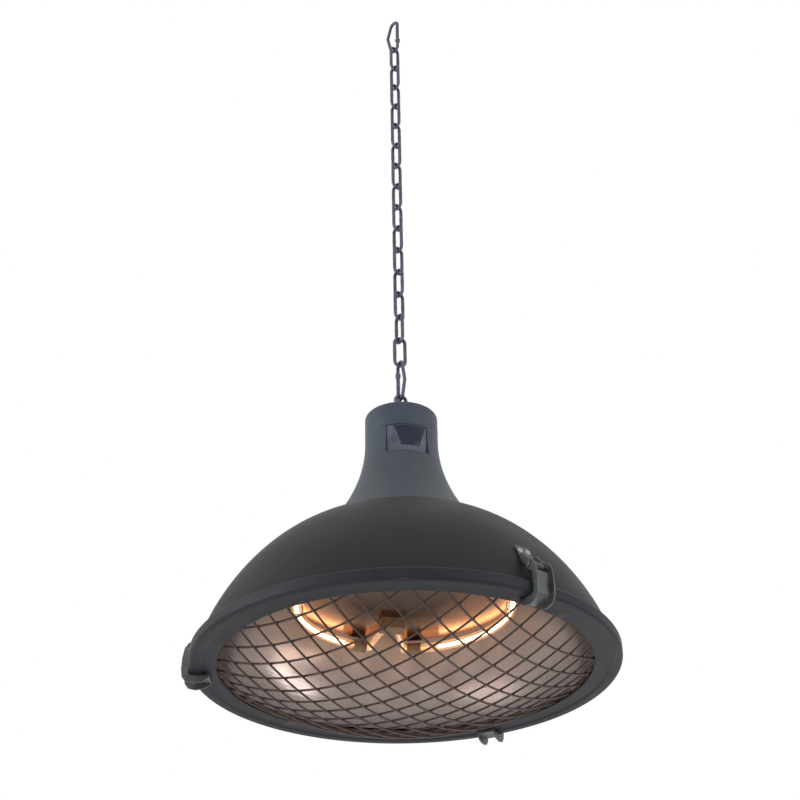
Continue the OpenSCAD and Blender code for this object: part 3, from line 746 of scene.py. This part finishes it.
add_mesh("lamp_coil", *sweep_tube(coil_path(LIT_START, LIT_ANGLE, LIT_TURNS, 1.75), 0.36, 5),
         M["glowing_coil"], "heater", "glowing_coil", ["lamp_filament"])
tail_starts = (LAMP_TURN + GAP_HALF + 1, LIT_START + LIT_ANGLE - 360)
tail_ends = (LIT_START, LAMP_TURN - GAP_HALF - 1)
tails = []
for start, end in zip(tail_starts, tail_ends):
    turns = max(int((end - start) * TAIL_TURNS_PER_DEGREE), 6)
    tails.append(sweep_tube(coil_path(start, end - start, turns, 1.5), 0.42, 6))
add_mesh("lamp_tails", *merge(tails), M["warm_coil"], "heater", "glowing_coil")


# ---------- clip springs ----------

springs = []
for turn in CLIP_TURNS:
    pin_r, pin_z = CLIP_PIN
    path = [(pin_r + SPRING_R, -SPRING_HALF, z) for z in (19.5, 26.0)]
    steps = SPRING_TURNS * 16
    for i in range(steps + 1):
        a = 2 * math.pi * i / 16
        path.append((pin_r + SPRING_R * math.cos(a), SPRING_HALF * (2 * i / steps - 1),
                     pin_z + SPRING_R * math.sin(a)))
    path += [(pin_r + 1.0, SPRING_HALF, pin_z + 4.0), (203.2, SPRING_HALF, 41.0)]
    springs.append(sweep_tube([turned(p, turn) for p in path], 0.5, 8))
add_mesh("clip_springs_wound", *merge(springs), M["clip_zinc"], "heater", "bright_steel", ["clip_springs"])


# ---------- floor, light and camera ----------

floor_data = bpy.data.meshes.new("floor")
floor_z = rim_z * MM - FLOOR_DROP
corners = ((-1, -1), (1, -1), (1, 1), (-1, 1))
floor_data.from_pydata([(FLOOR_HALF * x, FLOOR_HALF * y, floor_z) for x, y in corners], [], [(0, 1, 2, 3)])
floor = bpy.data.objects.new("floor", floor_data)
scene.collection.objects.link(floor)
floor_data.materials.append(material("pale_floor", (0.78, 0.78, 0.77), (0.84, 0.84, 0.83), (0.8, 0.9),
                                     patch=1.5, grain=60.0, bump=0.02))

world = bpy.data.worlds.new("studio")
world.use_nodes = True
world.node_tree.nodes["Background"].inputs["Color"].default_value = (1.0, 1.0, 1.0, 1)
world.node_tree.nodes["Background"].inputs["Strength"].default_value = 1.0
scene.world = world
scene.view_settings.view_transform = "Standard"
scene.view_settings.look = "None"


def area(name, place, aim, size, power, colour=(1, 1, 1)):
    data = bpy.data.lights.new(name, "AREA")
    data.shape = "RECTANGLE"
    data.size, data.size_y = size
    data.energy = power
    data.color = colour
    lamp = bpy.data.objects.new(name, data)
    lamp.location = place
    lamp.visible_camera = False
    lamp.rotation_mode = "QUATERNION"
    lamp.rotation_quaternion = (Vector(aim) - Vector(place)).to_track_quat("-Z", "Y")
    scene.collection.objects.link(lamp)


shade_centre = (0, 0, rim_z * MM + 0.1)
area("key", (-1.9, -0.7, -0.5), shade_centre, (1.2, 1.2), 20)
area("fill", (1.7, -1.2, -0.4), shade_centre, (1.0, 1.0), 10)
# small lamps below the rim give the bowl its highlights
rim_m = rim_z * MM
bowl = (0, 0.1, rim_m)
area("low_right", (0.56, 0.22, rim_m - 0.60), bowl, (0.55, 0.16), 1.4)
area("low_left", (-0.62, -0.12, rim_m - 0.72), bowl, (0.40, 0.5), 1.0, (1.0, 0.88, 0.83))
area("low_back", (0.42, 0.62, rim_m - 0.86), bowl, (0.30, 0.40), 0.8, (1.0, 0.93, 0.90))

pitch = math.radians(31.568)
pan = math.radians(-0.03)
roll = math.radians(-1.03)
forward = Vector((math.sin(pan) * math.cos(pitch), math.cos(pan) * math.cos(pitch), math.sin(pitch)))
right = forward.cross(Vector((0, 0, 1))).normalized()
up = right.cross(forward)
right_r = math.cos(roll) * right + math.sin(roll) * up
up_r = -math.sin(roll) * right + math.cos(roll) * up
camera_data = bpy.data.cameras.new("photo_view")
camera_data.sensor_width = 36.0
camera_data.lens = 71.04
camera_data.clip_start, camera_data.clip_end = 0.05, 50.0
camera = bpy.data.objects.new("photo_view", camera_data)
camera.matrix_world = Matrix((
    (right_r.x, up_r.x, -forward.x, 0.0),
    (right_r.y, up_r.y, -forward.y, -CAMERA_BACK),
    (right_r.z, up_r.z, -forward.z, rim_z * MM - CAMERA_BELOW_RIM),
    (0, 0, 0, 1),
))
scene.collection.objects.link(camera)
scene.camera = camera
